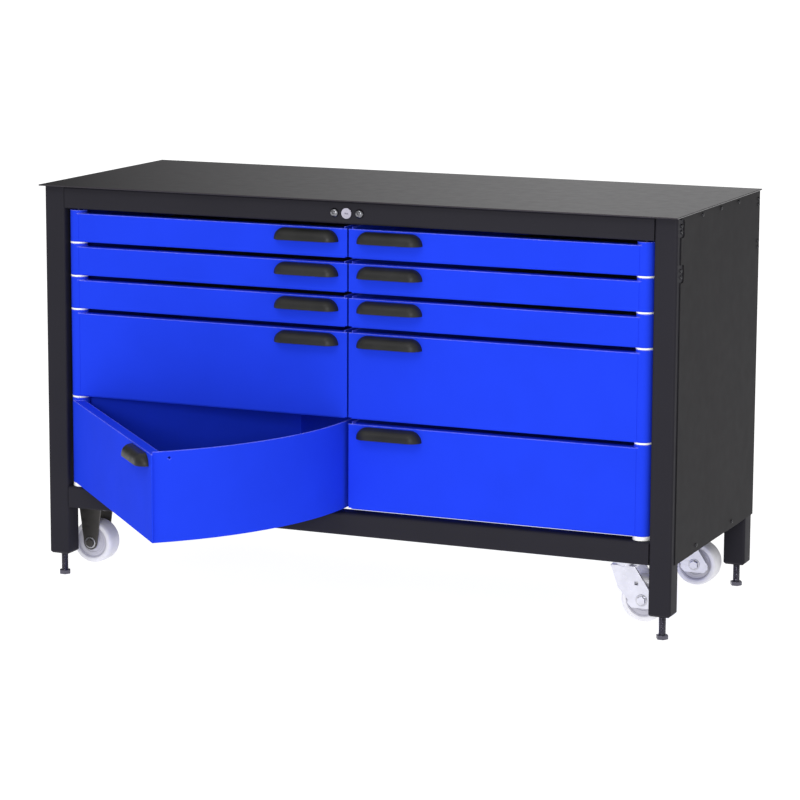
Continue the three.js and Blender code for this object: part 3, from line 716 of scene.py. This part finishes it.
# ---------------------------------------------------------------- floor, light and camera
def studio_floor(half=60):
    """A pale floor that glows a little, so that it stays white under the bench."""
    bm = bmesh.new()
    bm.faces.new([bm.verts.new((x, y, 0)) for x, y in
                  ((-half, -half), (half, -half), (half, half), (-half, half))])
    made, tree, shader = new_material(
        "floor_paper", Roughness=0.9, Specular_IOR_Level=0.1,
        Emission_Color=(1, 1, 1, 1), Emission_Strength=0.95,
    )
    darker, paler = (0.30, 0.30, 0.30, 1), (0.34, 0.34, 0.34, 1)
    tree.links.new(mixed(tree, spread(tree, noise(tree, 2, 3), 0, 1), darker, paler),
                   shader.inputs["Base Color"])
    piece = finish_mesh(bm, "studio_floor", made)
    piece.location.z = -0.5 * MM


def area_light(name, place, target, width, height, power):
    light = bpy.data.lights.new(name, "AREA")
    light.shape = "RECTANGLE"
    light.size, light.size_y, light.energy = width, height, power
    lamp = bpy.data.objects.new(name, light)
    lamp.location = place
    lamp.rotation_euler = (Vector(target) - Vector(place)).to_track_quat("-Z", "Y").to_euler()
    bpy.context.scene.collection.objects.link(lamp)


def studio_world():
    """A white room, dark low down behind the bench but for a soft bright stretch."""
    world = bpy.data.worlds.new("studio_world")
    world.use_nodes = True
    bpy.context.scene.world = world
    tree = world.node_tree
    direction = add_node(tree, "ShaderNodeTexCoord").outputs["Generated"]
    along = add_node(tree, "ShaderNodeSeparateXYZ", {"Vector": direction}).outputs
    room = spread(tree, along["Z"], 0.42, 0.72, (0.0, 0.8))
    behind = spread(tree, along["Y"], 0.0, 1.0, (0.15, 0.5))
    low = spread(tree, along["Z"], 1.0, 0.0, (0.3, 0.65))
    shade = add_node(tree, "ShaderNodeMath", {0: behind, 1: low}, operation="MULTIPLY").outputs[0]
    heading = add_node(tree, "ShaderNodeMath", {0: along["X"], 1: along["Y"]}, operation="DIVIDE")
    rising = spread(tree, heading.outputs[0], 0.01, 0.41, (-0.60, -0.36))
    falling = spread(tree, heading.outputs[0], 1.0, 0.02, (-0.05, 0.2))
    stretch = add_node(tree, "ShaderNodeMath", {0: rising, 1: falling}, operation="MULTIPLY")
    glow = add_node(tree, "ShaderNodeMix", {0: shade, 2: room, 3: stretch.outputs[0]},
                    data_type="FLOAT")
    backdrop = tree.nodes["Background"]
    backdrop.inputs["Color"].default_value = (1, 1, 1, 1)
    tree.links.new(glow.outputs[0], backdrop.inputs["Strength"])


studio_floor()
studio_world()
area_light("key", (-0.6, -4.6, 4.6), (0, 0, 0.5), 2.2, 1.6, 60)
area_light("front", (2.0, -6.6, 1.9), (0, 0, 0.5), 2.0, 1.0, 150)

camera_data = bpy.data.cameras.new("camera")
camera_data.sensor_width = 36
camera_data.lens = 139.59
camera_data.shift_x = 0.0661
camera_data.shift_y = -0.0399
camera_data.clip_end = 200
camera = bpy.data.objects.new("camera", camera_data)
camera.location = (2.7516, -6.2037, 1.6900)
yaw, pitch, roll = math.radians(24.096), math.radians(9.675), math.radians(0.085)
camera.rotation_euler = (
    Matrix.Rotation(yaw, 3, "Z") @ Matrix.Rotation(math.pi / 2 - pitch, 3, "X")
    @ Matrix.Rotation(roll, 3, "Z")
).to_euler()
bpy.context.scene.collection.objects.link(camera)
bpy.context.scene.camera = camera
bpy.context.scene.view_settings.view_transform = "Standard"
